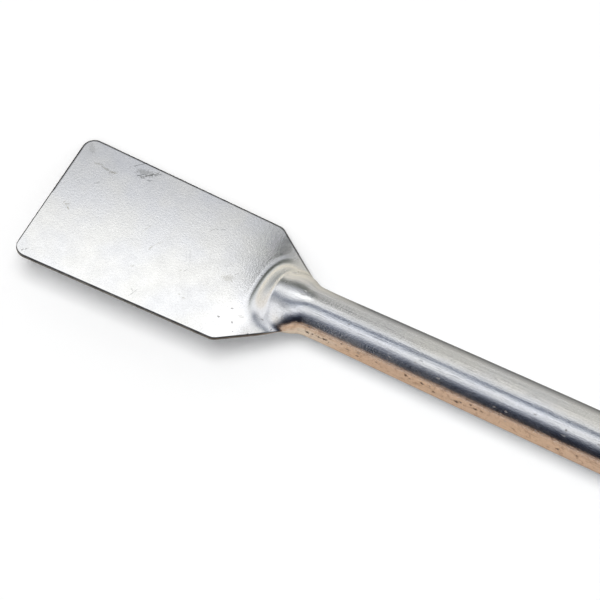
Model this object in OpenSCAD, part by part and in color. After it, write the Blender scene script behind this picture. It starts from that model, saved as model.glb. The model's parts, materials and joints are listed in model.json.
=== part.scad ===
// Lab spatula: a round steel bar whose front end is forged into a flat blade. It is one piece.
// Millimetres. X runs from the blade's tip to the rear end, and Z is up.
// The tool lies as it comes to rest, on its bar and on one long edge of the blade.
// The origin is below the bar's axis, halfway along the tool, on the surface that it lies on.

/* [Bar] */
// Length from the blade's tip to the rear end
overall_l = 180; // [130:5:260]
// Diameter of the round bar
bar_d = 5; // [4.6:0.1:6]
// Diameter that the bar is drawn down to behind the blade
neck_d = 4.44; // [4:0.02:4.6]
// Length over which the bar swells from the neck to its full diameter
swell_l = 30; // [15:1:50]
// Shape of the swell: 1 is a plain cone, and more runs out softer at the full diameter
swell_power = 1.35; // [1:0.05:2]
// Radius round the edge of the rear end
end_r = 1.2; // [0.4:0.1:2]

/* [Blade] */
// Width across the tip
tip_w = 14; // [12:0.2:18]
// Width across the shoulders
shoulder_w = 13.2; // [11:0.2:17]
// Distance from the tip to the shoulders
side_l = 20.15; // [14:0.05:40]
// Thickness
blade_t = 0.36; // [0.3:0.02:0.8]
// Radius of the two corners at the tip
tip_r = 1.2; // [0.5:0.1:4]
// Radius of the two corners at the shoulders
shoulder_r = 1.3; // [0.3:0.1:2]
// Angle between a clipped shoulder and the tool's axis
clip_angle = 35.5; // [28:0.5:45]
// Distance of the blade's middle below the bar's axis, before the tool is laid down
blade_drop = 0.28; // [0:0.02:0.6]

/* [Neck] */
// Distance from the shoulders to the foot of the neck's steep nose
nose_gap = 0.4; // [0.3:0.1:1.5]
// Length of the steep nose
nose_l = 2.6; // [2:0.1:4]
// Distance that the nose's foot falls back at the sides of the neck
nose_round = 1.2; // [0:0.1:2.5]
// Distance that the nose leans to the far side
nose_lean = 0.3; // [0:0.1:0.8]
// Width that each side of the neck gains between the bar and the nose
nose_spread = 0.8; // [0.4:0.1:1.8]
// Height that the neck loses between the bar and the nose
back_fall = 0.9; // [0.2:0.05:1.2]
// Length over which the flanks change from hollow ones at the nose to the bar's round ones
flank_l = 3.2; // [2:0.1:4]
// Softness of the hollow between the neck and the clipped shoulders
hollow = 0.45; // [0.1:0.05:0.6]
// Length over which the thin edges grow to the round section
thin_l = 2.4; // [1.6:0.1:3]
// Distance that the edges sink under the clipped shoulders
edge_sag = 0.04; // [0:0.02:0.2]
// Softness of the corner where a clipped shoulder meets the bar
fillet = 0.3; // [0.06:0.02:0.6]

/* [Hidden] */

bar_r = bar_d / 2;
neck_r = neck_d / 2;
// Round of the outline's corners, in steps
corner_steps = 10;
// Points round a section of the neck, and sections along it
ring_points = 64;
ring_count = 54;
// Steps along the swell, and round the rear edge
swell_steps = 16;
end_steps = 8;
// Turn of the seam of the bar's surface, clear of the line that the bar lies on
seam_turn = 43.7;
// Depth that each end of the neck reaches into its neighbour, and the skin that it keeps below it
lap = 0.3;
skin = 0.004;

// Places along the axis, from the tip
clip_slope = tan(clip_angle);
neck_x = side_l + (shoulder_w / 2 - neck_r) / clip_slope;
nose_x = side_l + nose_gap;
side_angle = atan((tip_w - shoulder_w) / 2 / side_l);
shoulder_end_x = side_l + shoulder_r * tan((clip_angle - side_angle) / 2) * cos(clip_angle);
blade_end_x = max(nose_x + 0.1, shoulder_end_x + lap + 0.05);
round_x = neck_x + 0.6;
bar_x = round_x + 2;
flank_x = nose_x + 0.6;
// The edges are thin up to here, and the section is round after thin_l more
thin_x = round_x - 1.2 - thin_l;
// Half the width at which the nose's foot has fallen back by nose_round
nose_side = 0.65 * shoulder_w / 2;

function mix(a, b, t) = a + (b - a) * t;
function clamp01(t) = min(1, max(0, t));
function ease(t) = let (c = clamp01(t)) c * c * (3 - 2 * c);
function unit(v) = v / norm(v);

// Points of the arc of radius r that rounds the corner b between the sides to a and c
function corner_arc(a, b, c, r) =
    let (
        to_a = unit(a - b),
        to_c = unit(c - b),
        half = acos(to_a * to_c) / 2,
        middle = b + unit(to_a + to_c) * r / sin(half),
        first = b + to_a * r / tan(half) - middle,
        last = b + to_c * r / tan(half) - middle,
        start = atan2(first.y, first.x),
        turn = atan2(last.y, last.x) - start,
        sweep = turn > 180 ? turn - 360 : turn < -180 ? turn + 360 : turn
    )
    [for (i = [0:corner_steps]) let (g = start + sweep * i / corner_steps)
        middle + r * [cos(g), sin(g)]];

// Half the width of the blade's clipped shoulder, of the bar, and of the whole forging at x
function clip_half(x) = shoulder_w / 2 - (x - side_l) * clip_slope;
function bar_half(x) =
    let (back = max(0, 1 - (x - neck_x) / swell_l))
    bar_r - (bar_r - neck_r) * back ^ swell_power;
function half_width(x) =
    let (
        clip = clip_half(x),
        bar = bar_half(x),
        soft = fillet * ease((x - nose_x) / 2) * clamp01((bar_x - x) / 2)
    )
    (clip + bar + norm([clip - bar, soft])) / 2;

// One side of the blade's outline, from the tip to the neck
blade_side = let (
        tip = [0, tip_w / 2],
        shoulder = [side_l, shoulder_w / 2],
        end = [blade_end_x, clip_half(blade_end_x)]
    )
    concat(
        corner_arc([0, 0], tip, shoulder, tip_r),
        corner_arc(tip, shoulder, end, shoulder_r),
        [end]
    );

// Roll about the bar's axis at which the blade's widest edge meets the surface below the bar
low_edge = [max([for (p = blade_side) p.y]), blade_drop + blade_t / 2];
lie_angle = asin(bar_r / norm(low_edge)) - atan2(low_edge.y, low_edge.x);

// Share of the way ahead from the round bar to the nose
function ahead(x) = clamp01((round_x - x) / (round_x - nose_x));
// Height of the neck's top above the bar's axis
function crest(x) = bar_half(x) - back_fall * ahead(x) ^ 1.5;
// 1 where the edges are as thin as the blade, 0 where the section is round
function thin_share(x) = 1 - ease((x - thin_x) / thin_l);
// Height of the edges' middle: it sinks a little under the clips and comes up to the bar
function edge_line(x) =
    let (sag = edge_sag * ease((x - nose_x) / 3))
    -(blade_drop + sag) * (1 - ease((x - round_x + 3.6) / 3.6));

// Share of the neck's height at a share of the half width: hollow-footed like a bell at the
// nose, and round like the bar behind it
function soft_root(g, soft) = sqrt((g + norm([g, soft])) / 2);
function round_top(across, share, soft) =
    let (
        foot = soft_root(1 - 1 / share ^ 2, soft),
        rise = soft_root(1 - (across / share) ^ 2, soft)
    )
    max(0, (rise - foot) / (soft_root(1, soft) - foot));
function bell(across) = cos(90 * max(-1, min(1, across))) ^ 2;
function crown(across, x) =
    let (
        half = half_width(x),
        thin = thin_share(x),
        share = min(1, mix(1, (bar_half(x) + nose_spread * ahead(x)) / half, thin)),
        leaned = across - nose_lean / half * ahead(x) ^ 2 * (1 - across ^ 2)
    )
    mix(bell(leaned), round_top(leaned, share, hollow * thin), ease((x - flank_x) / flank_l));

// Share of the full height on the blunt nose, whose foot falls back at the sides
function nose(x, y) =
    let (t = (x - nose_x - nose_round * abs((y - nose_lean) / nose_side) ^ 3) / nose_l)
    1 - (1 - clamp01(t) ^ 2.4) ^ 2;

// Section of the neck at x: flat at the blade, crowned behind the nose and round at the bar
function neck_ring(x) =
    let (
        half = half_width(x) - skin,
        edge = thin_share(x) * (blade_t / 2 - skin),
        middle = edge_line(x)
    )
    [for (i = [0:ring_points - 1])
        let (
            g = 360 * (i + 0.5) / ring_points,
            up = g < 180 ? 1 : -1,
            y = half * cos(g) / cos(180 / ring_points),
            body = max(0, crest(x) - skin - edge - up * middle),
            rise = edge + body * crown(cos(g), x) * nose(x, y)
        )
        [x, y, middle + up * rise]];

// Sections closer together at the nose than behind it
function neck_station(i) =
    let (t = i / (ring_count - 1), start = blade_end_x - lap, stop = bar_x + lap)
    mix(start, stop, mix(t, t ^ 1.6, 0.6));

module forged_neck() {
    rings = [for (i = [0:ring_count - 1]) neck_ring(neck_station(i))];
    points = [for (ring = rings) each ring];
    sides = [for (i = [0:ring_count - 2], j = [0:ring_points - 1])
        let (a = i * ring_points + j, b = i * ring_points + (j + 1) % ring_points)
        each [[a, b + ring_points, b], [a, a + ring_points, b + ring_points]]];
    // Each end is closed by strips from the top of its ring to the bottom
    half = ring_points / 2;
    front = [for (j = [0:half - 2]) let (low = ring_points - 1 - j) [j, j + 1, low - 1, low]];
    last = (ring_count - 1) * ring_points;
    rear = [for (strip = front) [for (k = [3:-1:0]) last + strip[k]]];
    polyhedron(points, concat(front, sides, rear));
}

module blade() {
    other_side = [for (i = [len(blade_side) - 1:-1:0]) [blade_side[i].x, -blade_side[i].y]];
    translate([0, 0, -blade_drop - blade_t / 2])
        linear_extrude(blade_t)
            polygon(concat(blade_side, other_side));
}

// The round bar, turned about its axis: a slow swell behind the neck and a rounded rear end
module bar() {
    swell = [for (i = [0:swell_steps]) let (x = mix(bar_x, neck_x + swell_l, i / swell_steps))
        [bar_half(x), x]];
    rear_edge = [for (i = [0:end_steps]) let (g = 90 * i / end_steps)
        [bar_r - end_r + end_r * cos(g), overall_l - end_r + end_r * sin(g)]];
    rotate([seam_turn, 0, 0])
        rotate([0, 90, 0])
            rotate_extrude($fn = 96)
                polygon(concat([[0, bar_x]], swell, rear_edge, [[0, overall_l]]));
}

// The forging, rolled about the bar's axis until one long edge of the blade touches down
module spatula() {
    color([0.78, 0.79, 0.80])
        translate([-overall_l / 2, 0, bar_r])
            rotate([-lie_angle, 0, 0])
                union() {
                    blade();
                    forged_neck();
                    bar();
                }
}

spatula();
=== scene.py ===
"""Lab spatula: a round steel bar forged into a flat blade, lying on a pale floor."""

import json
import math

import bmesh
import bpy
from mathutils import Matrix, Vector

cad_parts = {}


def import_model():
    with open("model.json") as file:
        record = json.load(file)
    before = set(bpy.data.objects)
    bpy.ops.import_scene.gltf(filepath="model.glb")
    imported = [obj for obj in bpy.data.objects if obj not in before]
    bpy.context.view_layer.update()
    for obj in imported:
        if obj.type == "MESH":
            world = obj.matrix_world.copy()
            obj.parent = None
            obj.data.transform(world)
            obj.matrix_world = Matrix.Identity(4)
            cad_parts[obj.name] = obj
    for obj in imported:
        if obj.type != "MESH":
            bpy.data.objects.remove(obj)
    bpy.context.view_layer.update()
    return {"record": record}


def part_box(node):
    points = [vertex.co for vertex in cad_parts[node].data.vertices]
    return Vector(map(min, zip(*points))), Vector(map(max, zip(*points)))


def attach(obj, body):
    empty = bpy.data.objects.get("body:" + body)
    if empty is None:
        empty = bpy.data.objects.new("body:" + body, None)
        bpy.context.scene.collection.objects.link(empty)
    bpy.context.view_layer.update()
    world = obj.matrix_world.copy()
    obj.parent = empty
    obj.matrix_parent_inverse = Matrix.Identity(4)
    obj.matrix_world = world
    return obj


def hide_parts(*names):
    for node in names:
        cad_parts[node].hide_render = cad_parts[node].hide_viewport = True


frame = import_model()

# ---------------------------------------------------------------- sizes, in millimetres
# Everything is measured on the level tool, with x from the blade's tip, y across it
# towards the far side, and z above the bar's axis, and is then laid down.
MM = 0.001
handle = frame["record"]["mounts"][0]
BAR_R = handle["dims"]["r_mm"]
LENGTH = (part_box("spatula")[1].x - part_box("spatula")[0].x) / MM
END_R = 1.2                # round of the bar's rear end

TIP_W = 14.0               # blade, across the tip
SHOULDER_W = 13.2          # blade, across the shoulders
SIDE_L = 20.15             # from the tip to the shoulders
BLADE_T = 0.36
BLADE_DROP = 0.28          # of the blade's middle below the bar's axis
TIP_R = 1.2                # corners at the tip
SHOULDER_R = 1.3           # corners at the shoulders
CLIP_ANGLE = 35.5          # between a clipped shoulder and the bar's axis
EDGE_R = 0.1               # round of the blade's thin edges

NECK_R = 2.22              # bar where it meets the clipped shoulders
SWELL_L = 30.0             # length over which the bar swells to its full size
SWELL_POWER = 1.35
NOSE_GAP = 0.4             # from the shoulders to the foot of the neck's steep nose
NOSE_L = 2.6
NOSE_ROUND = 1.2           # how far the nose's foot falls back at the sides
NOSE_ROUND_POWER = 3
NOSE_FOOT_POWER = 2.4      # softness of the nose's foot
NOSE_LEAN = 0.3            # to the far side
NOSE_SPREAD = 0.8          # width that each side gains between the bar and the nose
BACK_FALL = 0.9            # height that the neck loses between the bar and the nose
BACK_POWER = 1.5
HOLLOW = 0.45              # softness of the foot between the neck and the shoulders
FILLET = 0.3               # softness of the corner where a shoulder meets the bar
FILLET_L = 2.0
BELL_X, BELL_L = 0.6, 3.2  # where the flanks change from a bell's to the bar's
EDGE_SAG = 0.04            # how far the edges sink under the clipped shoulders
EDGE_SAG_L = 3.0
EDGE_RISE_L = 3.6          # length over which they come up to the bar's axis
ROUND_GAP = 0.6            # from the end of the shoulders to where all is round
THIN_END, FULL_L = 1.2, 2.4

SIDE_SLOPE = (TIP_W - SHOULDER_W) / 2 / SIDE_L
CLIP_SLOPE = math.tan(math.radians(CLIP_ANGLE))
NECK_X = SIDE_L + (SHOULDER_W / 2 - NECK_R) / CLIP_SLOPE
NOSE_X = SIDE_L + NOSE_GAP
ROUND_X = NECK_X + ROUND_GAP
NOSE_SIDE = 0.65 * SHOULDER_W / 2


def mix(a, b, t):
    return a + (b - a) * t


def clamp01(t):
    return min(1.0, max(0.0, t))


def ease(t):
    c = clamp01(t)
    return c * c * (3 - 2 * c)


def rise(value, start, over):
    """Softly from 0 at start to 1 at over beyond it."""
    return ease((value - start) / over)


def fall(value, stop, over):
    """Softly from 1 at over before stop to 0 at stop."""
    return ease((stop - value) / over)


# ---------------------------------------------------------------- the forging's form
# Circles that round the blade's corners: the tip's, between the tip and the side,
# and the shoulder's, between the side and the clip
SIDE_N, CLIP_N = math.hypot(1, SIDE_SLOPE), math.hypot(1, CLIP_SLOPE)
TIP_C = (TIP_R, TIP_W / 2 - SIDE_SLOPE * TIP_R - TIP_R * SIDE_N)
SHOULDER_X = (
    SIDE_L * CLIP_SLOPE + SHOULDER_W / 2 - TIP_W / 2 - SHOULDER_R * (CLIP_N - SIDE_N)
) / (CLIP_SLOPE - SIDE_SLOPE)
SHOULDER_Y = TIP_W / 2 - SIDE_SLOPE * SHOULDER_X - SHOULDER_R * SIDE_N
SHOULDER_ARC = (
    SHOULDER_X + SHOULDER_R * SIDE_SLOPE / SIDE_N,
    SHOULDER_X + SHOULDER_R * CLIP_SLOPE / CLIP_N,
)


def bar_half(x):
    """Radius of the bar at x from the tip."""
    back = max(0.0, 1 - (x - NECK_X) / SWELL_L)
    return BAR_R - (BAR_R - NECK_R) * back ** SWELL_POWER


def half_width(x):
    """Half the width of the forging at x from the tip."""
    if x < TIP_R * (1 + SIDE_SLOPE / SIDE_N):
        return TIP_C[1] + math.sqrt(max(0.0, TIP_R ** 2 - (TIP_R - x) ** 2))
    if x < SHOULDER_ARC[0]:
        return TIP_W / 2 - SIDE_SLOPE * x
    if x < SHOULDER_ARC[1]:
        return SHOULDER_Y + math.sqrt(SHOULDER_R ** 2 - (x - SHOULDER_X) ** 2)
    clip = SHOULDER_W / 2 - (x - SIDE_L) * CLIP_SLOPE
    bar = bar_half(x)
    # the clip runs into the bar through a small hollow
    hollow = FILLET * rise(x, NOSE_X, FILLET_L) * clamp01((ROUND_X + FILLET_L - x) / FILLET_L)
    return (clip + bar + math.hypot(clip - bar, hollow)) / 2


def share_ahead(x):
    """Share of the way ahead from the round bar to the nose."""
    return clamp01((ROUND_X - x) / (ROUND_X - NOSE_X))


def crest(x):
    """Height of the neck's top above the bar's axis."""
    return bar_half(x) - BACK_FALL * share_ahead(x) ** BACK_POWER


def thin_share(x):
    """1 where the edges are as thin as the blade, 0 where the section is round."""
    return 1 - ease((x - ROUND_X + THIN_END + FULL_L) / FULL_L)


def edge_line(x):
    """Height of the edges' middle: it sinks a little under the clips and comes up to the bar."""
    sag = EDGE_SAG * rise(x, NOSE_X, EDGE_SAG_L)
    return -(BLADE_DROP + sag) * (1 - ease((x - ROUND_X + EDGE_RISE_L) / EDGE_RISE_L))


def soft_root(g, soft):
    return math.sqrt((g + math.hypot(g, soft)) / 2)


def crown(x, y):
    """Share of the crest's height: round like the bar, with a hollow foot on the blade."""
    half, thin, ahead = half_width(x), thin_share(x), share_ahead(x)
    share = min(1.0, mix(1, (bar_half(x) + NOSE_SPREAD * ahead) / half, thin))
    across = y / half
    across -= NOSE_LEAN / half * ahead ** 2 * (1 - across ** 2)
    foot = soft_root(1 - 1 / share ** 2, HOLLOW * thin)
    top = soft_root(1 - (across / share) ** 2, HOLLOW * thin)
    round_top = max(0.0, (top - foot) / (soft_root(1, HOLLOW * thin) - foot))
    # at the nose the flanks run out to the clips like a bell's
    bell = math.cos(math.radians(90 * max(-1.0, min(1.0, across)))) ** 2
    return mix(bell, round_top, rise(x, NOSE_X + BELL_X, BELL_L))


def nose(x, y):
    """Share of the neck's height that the nose has reached."""
    fallen_back = NOSE_ROUND * abs((y - NOSE_LEAN) / NOSE_SIDE) ** NOSE_ROUND_POWER
    up = clamp01((x - NOSE_X - fallen_back) / NOSE_L)
    return 1 - (1 - up ** NOSE_FOOT_POWER) ** 2


def edge_distance(x, y):
    """Distance from a point of the blade to its outline, seen from above."""
    y = abs(y)
    if x < TIP_C[0] and y > TIP_C[1]:
        return TIP_R - math.hypot(TIP_C[0] - x, y - TIP_C[1])
    return min(x, half_width(x) - y)


# Roll about the bar's axis at which one long edge of the blade touches the floor
WIDEST = TIP_C[1] + TIP_R / SIDE_N - SIDE_SLOPE * TIP_R * SIDE_SLOPE / SIDE_N
LIE = math.asin(BAR_R / math.hypot(WIDEST, BLADE_DROP + BLADE_T / 2)) - math.atan2(
    BLADE_DROP + BLADE_T / 2, WIDEST
)
ROLL = Matrix.Rotation(-LIE, 3, "X")


def laid_down(point):
    """A point of the level tool, in the frame in which the tool lies."""
    x, y, z = point
    turned = ROLL @ Vector((x - LENGTH / 2, y, z))
    return Vector((turned.x, turned.y, turned.z + BAR_R)) * MM


# ---------------------------------------------------------------- the forging's mesh
AROUND = 128               # points round a section
QUARTER = AROUND // 4
EDGE_ROWS = 6              # rows of points from an edge's middle over its round
EDGE_STEP = 0.04           # from the edge's round to the next row
# painted shade: a dark strip inside the far edge, for the dark line along that outline
FAR_EDGE_SHADE_W = 0.12                # dark strip inside the far edge, and its soft border
PLAIN_END = 19.4           # up to here the blade has long even steps
FOOT_START = 20.5          # from here to the round bar the steps are finest
SAME_PLACE = 1e-7


def ring_point(x, index):
    """One point of the section at x, counted round from the middle of the far edge, and how
    far it belongs to the dark edge."""
    half_turn = index % (AROUND // 2)
    row = min(half_turn, AROUND // 2 - half_turn)
    side = 1 if index < QUARTER or index > 3 * QUARTER else -1
    up = 1 if index < AROUND // 2 else -1
    half, thin = half_width(x), thin_share(x)

    if row < EDGE_ROWS:
        turn = math.radians(90 * max(0, row - 1) / (EDGE_ROWS - 2))
        blade_y = half - EDGE_R * (1 - math.cos(turn))
    else:
        share = (row - EDGE_ROWS) / (QUARTER - EDGE_ROWS)
        blade_y = (half - EDGE_R - EDGE_STEP) * math.cos(math.radians(90 * share))
    round_y = half * math.cos(math.radians(90 * row / QUARTER))
    y = mix(round_y, blade_y, thin)

    if row == 0:
        edge = 0.0
    else:
        depth = min(EDGE_R, max(0.0, edge_distance(x, y))) if x < NECK_X else EDGE_R
        edge = BLADE_T / 2 - EDGE_R + math.sqrt(EDGE_R ** 2 - (EDGE_R - depth) ** 2)
    middle = edge_line(x)
    body = crest(x) - up * middle - thin * BLADE_T / 2
    height = thin * edge + body * crown(x, side * y) * nose(x, side * y)

    # The rounds of the thin edges are dark: partly dirt, partly painted shade along the outline;
    # the strip inside the far edge is painted shade.
    if row < EDGE_ROWS:
        dark = 1.0
    elif side > 0:
        dark = 1 - rise(edge_distance(x, y), FAR_EDGE_SHADE_W, FAR_EDGE_SHADE_W)
    else:
        dark = 0.0
    return (x, side * y, middle + up * height), thin * dark


def steps(start, stop, count):
    """Even steps after start, up to and with stop."""
    return [mix(start, stop, (i + 1) / count) for i in range(count)]


def stations():
    """Places of the sections, from the tip to the start of the rear end's round."""
    places = [EDGE_R * (1 - math.cos(math.radians(a))) for a in (0, 22.5, 45, 67.5, 90)]
    places += [EDGE_R + EDGE_STEP]
    places += [TIP_R * (1 - math.cos(math.radians(a))) for a in range(33, 91, 6)]
    places += steps(places[-1], PLAIN_END, 24)
    places += steps(PLAIN_END, FOOT_START, 14)
    places += steps(FOOT_START, ROUND_X, 84)
    places += steps(ROUND_X, NECK_X + SWELL_L, 26)
    places += steps(NECK_X + SWELL_L, LENGTH - END_R, 10)
    return places


def end_point(turn, index):
    """One point of a ring on the round of the rear end."""
    radius = BAR_R - END_R * (1 - math.cos(turn))
    around = 2 * math.pi * index / AROUND
    return (
        LENGTH - END_R * (1 - math.sin(turn)),
        radius * math.cos(around),
        radius * math.sin(around),
    )


def put_in_scene(name, mesh):
    """An object made from the mesh, which is used up."""
    data = bpy.data.meshes.new(name)
    mesh.to_mesh(data)
    mesh.free()
    obj = bpy.data.objects.new(name, data)
    bpy.context.scene.collection.objects.link(obj)
    return obj


def forging():
    """The whole tool: a tube of rings, each ring drawn out to the section at its place."""
    places = stations()
    end_turns = [math.radians(a) for a in range(10, 91, 10)]
    count = 1 + len(places) + len(end_turns)
    mesh = bmesh.new()
    bmesh.ops.create_cone(
        mesh, cap_ends=False, segments=AROUND, radius1=1, radius2=1, depth=1)
    lengthwise = [e for e in mesh.edges if abs(e.verts[0].co.z - e.verts[1].co.z) > 0.5]
    bmesh.ops.subdivide_edges(mesh, edges=lengthwise, cuts=count - 2)
    edge_layer = mesh.verts.layers.float.new("edge")
    for vert in mesh.verts:
        ring = round((vert.co.z + 0.5) * (count - 1))
        turn = math.atan2(vert.co.y, vert.co.x)
        index = round(turn / (2 * math.pi) * AROUND) % AROUND
        if ring == 0:
            # the tip's edge closes along its middle line
            (x, y, _), dark = ring_point(places[0], index)
            point = (x, y, -BLADE_DROP)
        elif ring <= len(places):
            point, dark = ring_point(places[ring - 1], index)
            # the tip's round is dark too: partly dirt, partly painted shade along its outline
            if point[0] < EDGE_R:
                dark = 1.0
        else:
            point, dark = end_point(end_turns[ring - len(places) - 1], index), 0.0
        vert[edge_layer] = dark if point[0] <= NECK_X else 0.0
        vert.co = laid_down(point)
    bmesh.ops.remove_doubles(mesh, verts=mesh.verts, dist=SAME_PLACE)
    open_edges = [e for e in mesh.edges if e.is_boundary]
    bmesh.ops.edgeloop_fill(mesh, edges=open_edges)
    bmesh.ops.recalc_face_normals(mesh, faces=mesh.faces)
    for face in mesh.faces:
        face.smooth = len(face.verts) < AROUND
    return put_in_scene("forged_spatula", mesh)


# ---------------------------------------------------------------- shader nodes
class Nodes:
    """Short calls that add shader nodes and join them."""

    def __init__(self, owner, shader="Principled BSDF"):
        owner.use_nodes = True
        self.tree = owner.node_tree
        self.shader = self.tree.nodes[shader]

    def add(self, kind, inputs=(), **settings):
        made = self.tree.nodes.new("ShaderNode" + kind)
        for name, value in settings.items():
            setattr(made, name, value)
        for name, value in dict(inputs).items():
            self.put(made.inputs[name], value)
        return made

    def put(self, socket, value):
        if isinstance(value, bpy.types.NodeSocket):
            self.tree.links.new(value, socket)
        else:
            socket.default_value = value

    def set(self, **values):
        """Inputs of the shader itself, with their spaces written as underscores."""
        for name, value in values.items():
            self.put(self.shader.inputs[name.replace("_", " ")], value)

    def math(self, operation, a, b):
        made = self.add("Math", operation=operation)
        self.put(made.inputs[0], a)
        self.put(made.inputs[1], b)
        return made.outputs[0]

    def plus(self, a, b):
        return self.math("ADD", a, b)

    def times(self, a, b):
        return self.math("MULTIPLY", a, b)

    def most(self, a, b):
        return self.math("MAXIMUM", a, b)

    def band(self, value, low, high, to_low=0.0, to_high=1.0):
        """Value brought from low..high to to_low..to_high, with soft ends."""
        made = self.add("MapRange", {
            "Value": value, "From Min": low, "From Max": high,
            "To Min": to_low, "To Max": to_high}, interpolation_type="SMOOTHSTEP")
        return made.outputs[0]

    def blend(self, share, a, b):
        made = self.add("Mix", data_type="RGBA", clamp_factor=True)
        self.put(made.inputs[0], share)
        self.put(made.inputs[6], a)
        self.put(made.inputs[7], b)
        return made.outputs[2]

    def stretched(self, place, scale):
        """The place with its axes scaled, so that patterns in it are drawn out."""
        return self.add("Mapping", {"Vector": place, "Scale": scale}).outputs[0]

    def noise(self, place, scale, detail, roughness=0.5, distortion=0.0):
        made = self.add("TexNoise", {
            "Vector": place, "Scale": scale, "Detail": detail,
            "Roughness": roughness, "Distortion": distortion})
        return made.outputs[0]


# ---------------------------------------------------------------- wear
def flat(x, y, long, wide, turn, depth, kind):
    """A mark on the blade's upper face: place, length and width in mm, turn and depth."""
    return (x, y, -BLADE_DROP + BLADE_T / 2), (long, wide, 0.3), turn, depth, kind


def in_corner(x, y, z, long, wide, depth):
    """A pit low in the near corner between the blade and the neck."""
    return (x, y, z), (long, wide, 0.6), 0, depth, "pit"


def round_bar(x, turn, long, wide, depth):
    """A pit on the bar, turn degrees round from its top towards the near side."""
    around = math.radians(turn)
    radius = bar_half(x)
    place = (x, -radius * math.sin(around), radius * math.cos(around))
    return place, (long, wide, wide), 0, depth, "pit"


# Wear of a tool that has been used for years: grey smears, hairlines, and pits with rust in them
MARKS = [
    flat(0.9, 5.9, 1.2, 0.5, -50, 0.26, "smear"),
    flat(5.5, 6.3, 1.3, 0.07, 43, 0.75, "scratch"),
    flat(6.9, 5.8, 1.9, 0.30, 42, 0.85, "smear"),
    flat(6.2, 5.45, 0.8, 0.14, 48, 0.65, "scratch"),
    flat(6.6, 5.3, 0.7, 0.12, 30, 0.55, "scratch"),
    flat(7.5, 6.15, 1.0, 0.10, 40, 0.70, "scratch"),
    flat(6.4, 5.85, 1.7, 0.8, 10, 0.48, "smear"),
    flat(7.2, 5.3, 0.9, 0.16, 20, 0.40, "scratch"),
    flat(3.2, 4.55, 1.2, 0.22, -6, 0.42, "stain"),
    flat(2.3, 4.7, 1.0, 0.18, 8, 0.30, "stain"),
    flat(3.9, 4.5, 0.8, 0.26, 20, 0.45, "stain"),
    flat(3.2, 2.9, 0.7, 0.14, 47, 0.30, "scratch"),
    flat(1.9, -0.4, 0.6, 0.16, 30, 0.50, "stain"),
    flat(2.2, -0.7, 0.5, 0.14, -40, 0.55, "stain"),
    flat(1.6, -0.25, 0.4, 0.10, 70, 0.30, "stain"),
    flat(9.5, 0.75, 1.6, 0.10, 69, 0.22, "stain"),
    flat(10.8, -0.9, 0.7, 0.16, 78, 0.30, "stain"),
    flat(11.15, -0.25, 1.0, 0.12, 54, 0.20, "stain"),
    flat(14.7, 3.3, 0.5, 0.08, 60, 0.45, "scratch"),
    flat(15.1, 3.6, 0.45, 0.08, 0, 0.45, "scratch"),
    flat(15.6, 3.85, 0.6, 0.08, 25, 0.50, "scratch"),
    flat(14.3, 0.0, 1.6, 0.06, -62, 0.20, "scratch"),
    flat(14.0, -0.15, 1.5, 0.05, -62, 0.14, "scratch"),
    flat(14.7, -1.45, 0.45, 0.10, 60, 0.35, "scratch"),
    flat(14.3, -1.7, 0.2, 0.12, 0, 0.35, "stain"),
    flat(18.4, -0.45, 1.0, 0.8, 20, 0.25, "stain"),
    flat(18.85, 0.3, 0.45, 0.10, 58, 0.35, "scratch"),
    flat(11.7, -5.8, 0.9, 0.12, 70, 0.35, "scratch"),
    flat(11.5, -5.5, 0.5, 0.10, -33, 0.30, "scratch"),
    flat(10.3, -3.3, 0.35, 0.25, 0, 0.22, "stain"),
    flat(15.4, -3.95, 0.25, 0.15, 0, 0.30, "stain"),
    flat(15.9, -4.1, 0.25, 0.15, 0, 0.30, "stain"),
    flat(12.0, -1.9, 2.2, 0.08, 20, 0.08, "scratch"),
    flat(0.85, -6.45, 0.35, 0.12, 60, 0.30, "pit"),
    flat(1.1, -6.2, 0.25, 0.12, 60, 0.30, "pit"),
    flat(21.3, -3.4, 0.5, 0.4, 20, 0.30, "stain"),
    flat(19.6, -4.35, 0.22, 0.18, 0, 0.50, "pit"),
    flat(20.2, -3.0, 0.18, 0.16, 0, 0.40, "pit"),
    flat(20.9, -4.3, 0.22, 0.18, 0, 0.40, "pit"),
    flat(21.4, -5.1, 0.16, 0.14, 0, 0.40, "pit"),
    flat(20.9, 1.2, 0.2, 0.14, 0, 0.45, "pit"),
    flat(20.3, 2.1, 0.18, 0.14, 0, 0.35, "pit"),
    in_corner(24.6, -3.15, -0.38, 0.44, 0.36, 0.9),
    in_corner(24.95, -3.0, -0.42, 0.38, 0.32, 0.9),
    in_corner(24.3, -3.35, -0.35, 0.30, 0.26, 0.8),
    round_bar(27.3, 85, 0.50, 0.26, 0.85),
    round_bar(27.8, 83, 0.30, 0.22, 0.85),
    round_bar(28.4, 84, 0.40, 0.24, 0.80),
    round_bar(29.0, 82, 0.50, 0.28, 0.85),
    round_bar(29.4, 87, 0.26, 0.20, 0.75),
    round_bar(30.6, 72, 0.34, 0.18, 0.60),
    round_bar(31.2, 80, 0.60, 0.16, 0.55),
    round_bar(32.2, 88, 0.40, 0.26, 0.70),
    round_bar(34.1, 78, 0.30, 0.20, 0.55),
    round_bar(37.0, 76, 0.32, 0.22, 0.70),
    round_bar(37.4, 80, 0.24, 0.18, 0.60),
    round_bar(38.6, 77, 0.36, 0.24, 0.75),
    round_bar(39.8, 88, 0.36, 0.26, 0.65),
    round_bar(42.0, 84, 0.50, 0.30, 0.85),
    round_bar(42.4, 80, 0.26, 0.20, 0.70),
    round_bar(43.3, 74, 0.30, 0.20, 0.65),
    round_bar(43.8, 80, 0.44, 0.28, 0.80),
    round_bar(44.4, 79, 0.24, 0.20, 0.65),
    round_bar(47.5, 86, 0.30, 0.20, 0.55),
    round_bar(51.8, 85, 0.36, 0.24, 0.75),
    round_bar(53.6, 79, 0.28, 0.20, 0.60),
]
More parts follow.
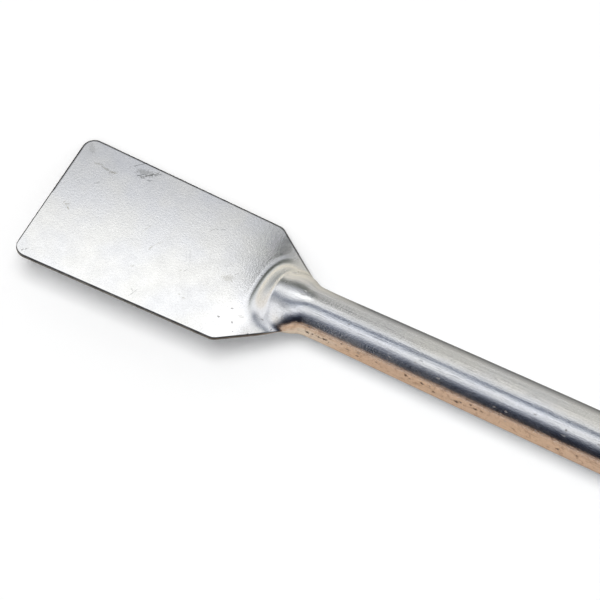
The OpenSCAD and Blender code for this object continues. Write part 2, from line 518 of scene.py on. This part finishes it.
MARK_COLOURS = {
    "smear": (0.22, 0.225, 0.225, 1),
    "scratch": (0.16, 0.165, 0.17, 1),
    "stain": (0.30, 0.28, 0.20, 1),
    "pit": (0.045, 0.03, 0.025, 1),
}
# A mark is full inside the first share of its own reach and gone at the second
MARK_FULL, MARK_GONE = 0.5, 1.2


def mark_shares(n, place, ragged):
    """How strong each kind of mark is at a place; the marks are broken up by the grain."""
    shares = {}
    for centre, size, turn, depth, kind in MARKS:
        local = n.add("Mapping", {
            "Vector": place, "Location": centre, "Rotation": (0, 0, math.radians(turn)),
            "Scale": tuple(s / 2 for s in size)}, vector_type="TEXTURE").outputs[0]
        reach = n.add("VectorMath", {0: local}, operation="LENGTH").outputs["Value"]
        share = n.band(n.plus(reach, ragged), MARK_GONE, MARK_FULL, 0.0, depth)
        shares[kind] = n.most(shares[kind], share) if kind in shares else share
    return shares


def strewn_pits(n, place, per_mm, crowd, widths, ragged, border):
    """Pits strewn over a pattern of cells; crowd is the share of the cells that hold one."""
    cells = n.add("TexVoronoi", {"Vector": place, "Scale": per_mm, "Randomness": 1.0})
    chance = n.add("SeparateColor", {"Color": cells.outputs["Color"]})
    width = n.band(chance.outputs["Green"], 0, 1, *widths)
    inside = n.math("SUBTRACT", n.plus(width, ragged), cells.outputs["Distance"])
    held = n.math("LESS_THAN", chance.outputs["Red"], crowd)
    return n.times(n.band(inside, -0.02, border), held)


# ---------------------------------------------------------------- steel
COOL_STEEL, WARM_STEEL = (0.808, 0.817, 0.836, 1), (0.840, 0.841, 0.830, 1)
HAIRLINE = (0.30, 0.31, 0.33, 1)
BROWN_DIRT = (0.26, 0.20, 0.16, 1)
FINE_PIT, DRAGGED_PIT = (0.07, 0.05, 0.04, 1), (0.09, 0.075, 0.065, 1)
# near-black of the edges: partly dirt, partly painted shade
EDGE_DIRT_AND_SHADE = (0.045, 0.045, 0.05, 1)
# Size of the surface's patterns, in repeats for each millimetre
PATCHES, CLOUDS, GRAIN = 0.22, 1.1, 6.5
RAGGED, DIRT, DULLNESS = 5.5, 2.2, 0.7
FINE_PITS, DRAGGED_PITS = 1.5, 1.3
# What was drawn or rubbed along the bar has its patterns drawn out with it
DRAWN, RUBBED, DRAGGED = (0.14, 5.0, 5.0), (0.55, 9.0, 9.0), (0.6, 1.8, 1.8)
# The part of a noise's range that is used
MIDDLE, MOST = (0.3, 0.7), (0.25, 0.75)
# Places across the bar between which a pattern changes, from the far side to the near one
TO_NEAR, LOW_NEAR = (1.8, -0.4), (-1.5, -2.4)
# How much lighter and darker than the steel each pattern is, on the blade and on the bar
GRAIN_TONE, CLOUD_TONE = (0.04, 0.06), 0.006
LINE_DARK, LINE_BRIGHT = -0.10, 0.07
# Heights of the surface, in thousandths of a millimetre, and their shares on blade and bar
GRAIN_HEIGHT, GRAIN_ON = 0.8, (1.0, 2.2)
CLOUD_HEIGHT, CLOUD_ON = 1.0, (0.12, 2.2)
GROOVE_HEIGHT = 1.8
MARK_DEPTH = 6.0
# Roughness of the rolled faces, and what the hammer and the wear add to it
SMOOTHEST, ROUGHEST = 0.14, 0.19
HAMMERED_MORE, WORN_MORE = 0.10, 0.15


def steel():
    """Rolled steel with a fine satin grain, drawn along the bar, stained and pitted by use."""
    material = bpy.data.materials.new("satin_steel")
    n = Nodes(material)
    # millimetres on the level tool
    place = n.add("Mapping", {
        "Vector": n.add("TexCoord").outputs["Object"],
        "Location": (LENGTH / 2, BAR_R * math.sin(LIE), -BAR_R * math.cos(LIE)),
        "Rotation": (LIE, 0, 0), "Scale": (1 / MM, 1 / MM, 1 / MM)}).outputs[0]
    parts = n.add("SeparateXYZ", {"Vector": place})
    along, across = parts.outputs[0], parts.outputs[1]
    on_bar = n.band(along, NOSE_X + 1, NECK_X + 2)

    # the patterns: slow patches, clouds, satin grain, draw lines along the bar, ragged borders
    patch = n.noise(place, PATCHES, 3)
    cloudy = n.noise(place, CLOUDS, 4, 0.65)
    grain = n.noise(place, GRAIN, 3, 0.6)
    lines = n.noise(n.stretched(place, DRAWN), 1.0, 5, 0.7)
    ragged = n.band(n.noise(place, RAGGED, 4, 0.7), *MOST, -0.75, 0.75)

    # warmer and cooler patches, with the grain and the lines a little lighter and darker
    colour = n.blend(n.band(patch, 0.35, 0.65), COOL_STEEL, WARM_STEEL)
    rub = n.times(n.band(grain, *MIDDLE, -1.0, 1.0), n.band(on_bar, 0, 1, *GRAIN_TONE))
    shade = n.plus(rub, n.band(cloudy, *MIDDLE, -CLOUD_TONE, CLOUD_TONE))
    streak = n.times(on_bar, n.band(lines, *MIDDLE, LINE_DARK, LINE_BRIGHT))
    streak = n.times(streak, n.band(across, *TO_NEAR, 0.35, 1.0))
    colour = n.add("VectorMath", {
        0: colour, "Scale": n.plus(n.plus(shade, streak), 1.0)}, operation="SCALE").outputs[0]

    # hairlines rubbed along the bar, and brown dirt low on its near side
    rubbed = n.noise(n.stretched(place, RUBBED), 1.0, 2, 0.5, 0.6)
    hair = n.times(n.band(rubbed, 0.60, 0.68), on_bar)
    hair = n.times(hair, n.band(across, 1.2, -0.6, 0.10, 0.42))
    colour = n.blend(hair, colour, HAIRLINE)
    dirt = n.times(n.band(n.noise(place, DIRT, 5, 0.72, 0.4), 0.50, 0.66), on_bar)
    dirt = n.times(dirt, n.band(across, *LOW_NEAR, 0, 0.5))
    colour = n.blend(dirt, colour, BROWN_DIRT)

    shares = mark_shares(n, place, ragged)
    for kind, share in shares.items():
        colour = n.blend(share, colour, MARK_COLOURS[kind])

    # fine pits, thickest low on the near side of the bar and on the blade in front of it
    low_side = n.times(n.band(across, *LOW_NEAR), n.band(along, NOSE_X + 2, NOSE_X + 4))
    crowd = n.times(n.band(across, 2.0, -2.5, 0.02, 0.10), n.band(along, 17, 21, 0.2, 1))
    crowd = n.most(crowd, n.times(low_side, 0.45))
    pit = strewn_pits(n, place, FINE_PITS, crowd, (0.05, 0.17), n.times(ragged, 0.06), 0.05)
    colour = n.blend(n.times(pit, 0.6), colour, FINE_PIT)
    # the same on the bar, long and thin, where the drawing die dragged them out
    dragged = n.stretched(place, DRAGGED)
    crowd = n.times(on_bar, n.band(across, 1.0, -2.2, 0.04, 0.55))
    nick = strewn_pits(
        n, dragged, DRAGGED_PITS, crowd, (0.04, 0.17), n.times(ragged, 0.16), 0.06)
    colour = n.blend(n.times(nick, 0.5), colour, DRAGGED_PIT)

    # the edges made dark: partly dirt in the sheared edges, partly painted shade along the
    # blade's outline; the strip inside the far edge is painted shade
    edge = n.add("Attribute", attribute_name="edge").outputs["Fac"]
    colour = n.blend(n.times(edge, n.band(cloudy, *MIDDLE, 1.0, 0.85)), colour, EDGE_DIRT_AND_SHADE)

    # the hammer left the nose of the neck duller than the rolled faces
    marked = n.most(n.most(pit, nick), shares["pit"])
    rough = n.band(n.noise(place, DULLNESS, 4, 0.6), *MIDDLE, SMOOTHEST, ROUGHEST)
    hammered = n.times(n.band(along, NOSE_X + 0.5, NOSE_X + 2.0),
                       n.band(along, NOSE_X + 6.0, NOSE_X + 3.0))
    rough = n.plus(rough, n.times(hammered, HAMMERED_MORE))
    rough = n.plus(rough, n.times(marked, WORN_MORE))
    rough = n.plus(rough, n.times(shares["smear"], WORN_MORE))

    height = n.times(n.band(on_bar, 0, 1, *GRAIN_ON),
                     n.band(grain, *MOST, -GRAIN_HEIGHT, GRAIN_HEIGHT))
    uneven = n.times(n.band(cloudy, *MOST, -CLOUD_HEIGHT, CLOUD_HEIGHT),
                     n.band(on_bar, 0, 1, *CLOUD_ON))
    groove = n.times(n.band(lines, *MOST, -GROOVE_HEIGHT, GROOVE_HEIGHT),
                     n.band(across, *TO_NEAR, 0.3, 1.0))
    height = n.plus(n.plus(height, uneven), n.times(on_bar, groove))
    height = n.math("SUBTRACT", height, n.times(marked, MARK_DEPTH))
    bump = n.add("Bump", {"Height": height, "Distance": MM / 1000})

    n.set(Base_Color=colour, Metallic=1.0, Roughness=rough, Normal=bump.outputs[0])
    return material


tool = forging()
tool.data.materials.append(steel())
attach(tool, "root")
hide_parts("spatula")

# ---------------------------------------------------------------- camera
# The view is set on the level tool and laid down with it
ELEVATION, AZIMUTH = math.radians(57.90), math.radians(28.26)
LOOKS_AT = Vector((25.09, 0.50, 0.0))
DISTANCE = 351.9
LENS, SENSOR_W = 240, 36
BACK = Vector((
    math.sin(AZIMUTH) * math.cos(ELEVATION),
    -math.cos(AZIMUTH) * math.cos(ELEVATION),
    math.sin(ELEVATION),
))
EYE = LOOKS_AT + BACK * DISTANCE


def camera():
    data = bpy.data.cameras.new("camera")
    data.sensor_width = SENSOR_W
    data.lens = LENS
    data.clip_start = 0.01
    obj = bpy.data.objects.new("camera", data)
    bpy.context.scene.collection.objects.link(obj)
    right = Vector((0, 0, 1)).cross(BACK).normalized()
    turned = ROLL @ Matrix((right, BACK.cross(right), BACK)).transposed()
    obj.matrix_world = Matrix.Translation(laid_down(EYE)) @ turned.to_4x4()
    bpy.context.scene.camera = obj


camera()


# ---------------------------------------------------------------- studio panels
def srgb(red, green, blue):
    """A colour written as it should look, from 0 to 255."""
    linear = []
    for part in (red, green, blue):
        part /= 255
        linear.append(part / 12.92 if part <= 0.04045 else ((part + 0.055) / 1.055) ** 2.4)
    return Vector(linear)


def tone_at(tones, value):
    """The tone at a value, from a list of values and their tones."""
    for (low, a), (high, b) in zip(tones, tones[1:]):
        if value <= high:
            return a.lerp(b, clamp01((value - low) / (high - low)))
    return tones[-1][1]


def only_glossy(obj):
    """The panel shows in the steel, and neither shades the floor nor stands in the view."""
    obj.visible_camera = False
    obj.visible_diffuse = False
    obj.visible_shadow = False
    obj.visible_transmission = False
    obj.visible_volume_scatter = False


# Colour of the light that the steel throws on the floor from any panel
OFF_FLOOR = (0.75, 0.76, 0.78, 1)


def shown(name, mesh, glow):
    """A studio panel from its mesh and the tones on it; it glows, or is lit as paper is."""
    obj = put_in_scene(name, mesh)
    material = bpy.data.materials.new(name)
    n = Nodes(material)
    bounced = n.math("MINIMUM", n.add("LightPath").outputs["Diffuse Depth"], 1.0)
    tone = n.add("Attribute", attribute_name="tone").outputs["Color"]
    colour = n.blend(bounced, tone, OFF_FLOOR)
    n.set(Specular_IOR_Level=0)
    if glow:
        n.set(Base_Color=(0, 0, 0, 1), Emission_Color=colour, Emission_Strength=1.0)
    else:
        n.set(Base_Color=colour)
    obj.data.materials.append(material)
    only_glossy(obj)


def panel(name, place, tone, cells, glow):
    """A flat panel: place(u, v) gives each point, and tone(u, v) its colour."""
    mesh = bmesh.new()
    bmesh.ops.create_grid(mesh, x_segments=cells, y_segments=cells, size=0.5)
    layer = mesh.verts.layers.float_color.new("tone")
    for vert in mesh.verts:
        u, v = vert.co.x + 0.5, vert.co.y + 0.5
        vert[layer] = (*tone(u, v), 1)
        vert.co = place(u, v)
    shown(name, mesh, glow)


# Tones of the dome, by degrees round the bar from straight above towards the near side
BANDS = [
    (-110, srgb(190, 189, 186)), (-65, srgb(198, 197, 193)), (-53, srgb(208, 207, 203)),
    (-41, srgb(217, 215, 211)), (-29, srgb(231, 229, 225)), (-17, srgb(237, 236, 234)),
    (-3, srgb(232, 234, 238)), (2, srgb(104, 112, 128)), (8, srgb(108, 116, 132)),
    (14, srgb(206, 211, 220)), (23, srgb(240, 242, 248)), (34, srgb(252, 253, 255)),
    (45, srgb(196, 199, 207)), (56, srgb(104, 109, 122)), (67, srgb(38, 44, 60)),
    (80, srgb(20, 24, 34)), (94, srgb(40, 38, 46)), (102, srgb(190, 160, 136)),
    (180, srgb(190, 160, 136)),
]
DOME_R = 300.0
DOME_X = 30.0
DOME_CELLS = (180, 120)
DOME_FOOT = -0.005         # the dome ends this share of its radius below the bar
PALE_NAVY = srgb(150, 157, 172)
OPEN_WHITE, OPEN_GREY = Vector((1.05, 1.05, 1.06)), srgb(206, 209, 207)
OPEN_CREAM = srgb(250, 242, 230)
FLAG_DARK = srgb(84, 88, 82)


def dome_tone(direction):
    """Tone of the dome seen from the neck in a direction on the level tool."""
    angle = math.degrees(math.atan2(-direction.y, direction.z))
    aside = math.degrees(math.atan2(direction.y, -direction.x))
    height = math.degrees(math.asin(direction.z))
    ahead = -direction.x
    tone = tone_at(BANDS, angle)
    # the dark of the near side thins out towards the blade
    pale = rise(ahead, 0.22, 0.10) * rise(angle, 45, 15) * fall(angle, 100, 8)
    tone = tone.lerp(PALE_NAVY, 0.6 * pale)
    dim = rise(ahead, 0.30, 0.25) * rise(angle, 5, 10) * fall(angle, 42, 12)
    tone *= 1 - 0.5 * dim
    # beyond the tip the dome is open: white to the near side, grey above, cream low down
    opens = mix(mix(0.50, 0.72, rise(angle, -20, 10)), 0.30, rise(angle, 28, 14))
    open_tone = OPEN_WHITE.lerp(OPEN_GREY, rise(aside, 8, 25))
    open_tone = OPEN_CREAM.lerp(open_tone, rise(height, 8, 12))
    tone = tone.lerp(open_tone, rise(ahead, opens, 0.22))
    # a dark flag stands there to the far side, wider and higher towards the tip
    forward = rise(ahead, 0.26, 0.05)
    flag = rise(aside, 22, 14) * fall(aside, 76, mix(26, 16, forward))
    flag *= fall(height, mix(64, 72, forward), mix(24, 14, forward)) * rise(height, 18, 10)
    return tone.lerp(FLAG_DARK, flag * ease(ahead / 0.2))


def dome():
    """A glowing dome round the neck, which the bar and the neck mirror."""
    mesh = bmesh.new()
    across, upward = DOME_CELLS
    bmesh.ops.create_uvsphere(mesh, u_segments=across, v_segments=upward, radius=1)
    layer = mesh.verts.layers.float_color.new("tone")
    below = [v for v in mesh.verts if (ROLL @ v.co).z < DOME_FOOT]
    bmesh.ops.delete(mesh, geom=below, context="VERTS")
    for vert in mesh.verts:
        vert[layer] = (*dome_tone(vert.co), 1)
        vert.co = laid_down(vert.co * DOME_R + Vector((DOME_X, 0, 0)))
    shown("dome", mesh, True)


# Papers on the floor beside the bar, in metres lengthwise and millimetres from the bar
SHEET_X = (-0.5, 0.6)
SHEET_GAP, SHEET_REACH, SHEET_LIFT = 0.5, 300, 0.02
BARE_FROM_X = 25.0
BARE_FLOOR = srgb(240, 233, 218)


def floor_sheet(name, side, tones):
    """Paper on the floor on one side of the bar; tones go by millimetres from the bar."""
    def spot(u, v):
        return mix(*SHEET_X, u), side * (SHEET_GAP + SHEET_REACH * v ** 2) * MM

    def tone(u, v):
        x, y = spot(u, v)
        x += (LENGTH / 2 - BARE_FROM_X) * MM
        # towards the tip and beyond it the floor is bare
        aside = math.degrees(math.atan2(abs(y), -x))
        return BARE_FLOOR.lerp(tone_at(tones, abs(y) / MM), rise(aside, 62, 20))
    panel(name, lambda u, v: Vector((*spot(u, v), SHEET_LIFT * MM)), tone, 120, False)


def mirrored(x, y, height):
    """The point at a height above the blade that the blade mirrors at x, y."""
    reach = height / EYE.z
    return laid_down((x + (x - EYE.x) * reach, y + (y - EYE.y) * reach, height))


# A card level above the blade, at the places of the blade that mirror it
CARD_H = 90.0
CARD_X, CARD_Y = (-14.0, 22.0), (-26.0, 26.0)
CARD_WHITE = Vector((1.27, 1.27, 1.26))
CARD_GREY = Vector((0.56, 0.57, 0.60))
CARD_CORNER = Vector((0.20, 0.21, 0.20))
# The line between its white and its grey slants across it as far as this place
LINE_Y, LINE_SLANT, LINE_END_X = -0.3, 0.225, 17.0


def card_place(u, v):
    return mirrored(mix(*CARD_X, u), mix(*CARD_Y, v), CARD_H)


def card_tone(u, v):
    """White to the near side and grey to the far side of a slanting soft line."""
    x, y = mix(*CARD_X, u), mix(*CARD_Y, v)
    line = LINE_Y + LINE_SLANT * min(x, LINE_END_X)
    white = CARD_WHITE * mix(0.92, 1.0, rise(x, -2, 10))
    tone = white.lerp(CARD_GREY, rise(y, line - 1, 2))
    # the flag's edge comes in over the far side of the neck
    return tone.lerp(CARD_CORNER, rise(x, 19, 2.5) * rise(y, 0.5, 2))


# Small slips close over the foot of the neck
SLIP_H = 30.0


def slip(name, x_range, y_range, tone):
    """A slip of card at the places of the blade that mirror it."""
    def place(u, v):
        return mirrored(mix(*x_range, u), mix(*y_range, v), SLIP_H)
    panel(name, place, lambda u, v: tone, 2, True)


dome()
panel("card", card_place, card_tone, 40, True)
slip("dark_slip", (20.4, 26.0), (-0.8, 6.5), (0.02, 0.025, 0.02))
slip("white_slip", (20.0, 24.5), (-8.0, -1.6), (1.6, 1.6, 1.62))
floor_sheet("warm_sheet", -1, [
    (0, srgb(206, 174, 147)), (SHEET_REACH, srgb(206, 174, 147)),
])
# The grey sheet darkens towards the bar: a painted shadow of the bar, which the bar mirrors on
# its far side.
floor_sheet("grey_sheet_painted_shadow", 1, [
    (4, srgb(92, 90, 88)), (6, srgb(130, 129, 127)), (10, srgb(164, 163, 160)),
    (26, srgb(190, 188, 184)), (60, srgb(198, 196, 192)),
])

# ---------------------------------------------------------------- floor and light
FLOOR_HALF = 3.0
FLOOR_TONE = (0.98, 0.98, 0.98, 1)
FADE_FROM, FADE_TO, FADE_GLOW = 0.12, 0.6, 0.52
WHITE = (1, 1, 1, 1)
# Strength of the world where it lights the floor, and where it is seen or mirrored
WORLD_LIGHT, WORLD_SEEN = 0.48, 1.0
LAMP_AT = Vector((-0.06, 0.025, 0.5))
LAMP_AIM = Vector((-0.06, 0, 0))
LAMP_SIZE = 0.27
LAMP_POWER = 1.55


def seen_or_mirrored(n):
    """1 for rays from the camera and from mirroring or clear surfaces, and 0 for lighting."""
    rays = n.add("LightPath")
    seen = n.most(rays.outputs["Is Camera Ray"], rays.outputs["Is Glossy Ray"])
    return n.most(seen, rays.outputs["Is Transmission Ray"])


def floor():
    """A plain pale floor, which runs out into white well away from the tool."""
    mesh = bmesh.new()
    bmesh.ops.create_grid(mesh, x_segments=1, y_segments=1, size=FLOOR_HALF)
    obj = put_in_scene("floor", mesh)
    material = bpy.data.materials.new("pale_floor")
    n = Nodes(material)
    away = n.add("VectorMath", {0: n.add("TexCoord").outputs["Object"]}, operation="LENGTH")
    fade = n.band(away.outputs["Value"], FADE_FROM, FADE_TO, 0.0, FADE_GLOW)
    n.set(
        Base_Color=FLOOR_TONE, Specular_IOR_Level=0, Roughness=1.0, Emission_Color=WHITE,
        Emission_Strength=n.times(fade, seen_or_mirrored(n)))
    obj.data.materials.append(material)


def world():
    studio = bpy.data.worlds.new("studio")
    bpy.context.scene.world = studio
    n = Nodes(studio, "Background")
    strength = n.add("MapRange", {
        "Value": seen_or_mirrored(n), "To Min": WORLD_LIGHT, "To Max": WORLD_SEEN})
    n.set(Color=WHITE, Strength=strength.outputs[0])


def overhead_lamp():
    data = bpy.data.lights.new("overhead_lamp", "AREA")
    data.shape = "SQUARE"
    data.size = LAMP_SIZE
    data.energy = LAMP_POWER
    obj = bpy.data.objects.new("overhead_lamp", data)
    bpy.context.scene.collection.objects.link(obj)
    obj.location = LAMP_AT
    obj.rotation_euler = (LAMP_AIM - LAMP_AT).to_track_quat("-Z", "Y").to_euler()
    obj.visible_glossy = False


floor()
world()
overhead_lamp()
bpy.context.scene.view_settings.view_transform = "Standard"
